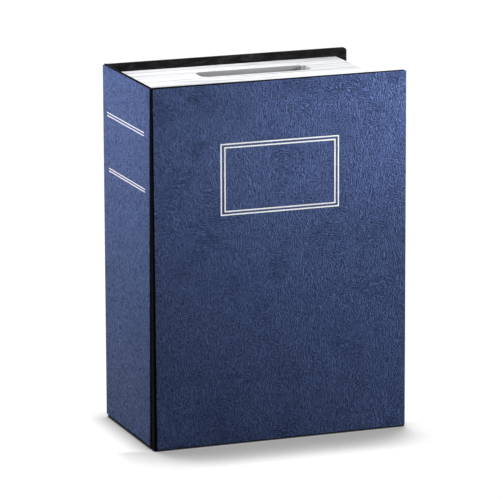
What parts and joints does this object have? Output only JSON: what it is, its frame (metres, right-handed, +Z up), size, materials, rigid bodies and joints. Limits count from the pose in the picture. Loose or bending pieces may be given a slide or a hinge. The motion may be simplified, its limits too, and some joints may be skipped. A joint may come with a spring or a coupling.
{
  "type": "book diversion safe",
  "caption": "Small steel cash box with keyed door and coin slot, hidden in a blue hardback book case whose front cover opens like a book.",
  "frame": {"origin": "centre of the footprint on which the book stands on its tail", "axes": "+Z up to the head, +X to the fore-edge, -Y out of the front cover; the spine is at -X"},
  "size_m": [0.084, 0.046, 0.115],
  "materials": {
    "blue_leatherette": "embossed leatherette, satin",
    "black_cloth": "fine matt covering cloth",
    "black_paper": "matt",
    "grey_board": "matt",
    "page_plastic": "moulded, satin",
    "box_paint": "fine textured powder coat",
    "door_paint": "fine textured powder coat",
    "lock_chrome": "polished plating",
    "lock_brass": "turned, satin",
    "plated_steel": "zinc plated",
    "rivet_aluminium": "satin"
  },
  "bodies": {
    "book_body": {"spine_panel": "blue_leatherette", "spine_cloth": "black_cloth", "spine_card": "grey_board", "back_panel": "blue_leatherette", "back_cloth": "black_cloth", "back_board": "grey_board", "back_lining": "black_paper", "front_joint": "black_cloth", "back_joint": "black_cloth", "page_block": "page_plastic", "steel_box": "box_paint", "hinge_pin_lower": "plated_steel", "hinge_pin_upper": "plated_steel", "box_rivet_1": "rivet_aluminium", "box_rivet_2": "rivet_aluminium", "box_rivet_3": "rivet_aluminium", "box_rivet_4": "rivet_aluminium"},
    "front_cover": {"front_panel": "blue_leatherette", "front_cloth": "black_cloth", "front_board": "grey_board", "front_lining": "black_paper"},
    "steel_door": {"door": "door_paint", "lock_body": "lock_chrome", "lock_nut": "plated_steel"},
    "key_plug": {"lock_plug": "lock_brass", "lock_cam": "plated_steel", "cam_washer": "plated_steel", "cam_screw": "plated_steel"}
  },
  "joints": [
    {"name": "cover_hinge", "type": "hinge", "parent": "book_body", "child": "front_cover", "pos_m": [-0.0412, -0.0231, 0.0575], "axis": [0, 0, -1], "range_deg": [0, 175]},
    {"name": "door_hinge", "type": "hinge", "parent": "book_body", "child": "steel_door", "pos_m": [-0.03735, -0.01785, 0.0575], "axis": [0, 0, -1], "range_deg": [0, 110]},
    {"name": "lock_turn", "type": "hinge", "parent": "steel_door", "child": "key_plug", "pos_m": [0.0152, 0, 0.0575], "axis": [0, 1, 0], "range_deg": [0, 90]}
  ],
  "couplings": [
    {"joint": "door_hinge", "follows": "cover_hinge", "ratio": 0.628}
  ]
}
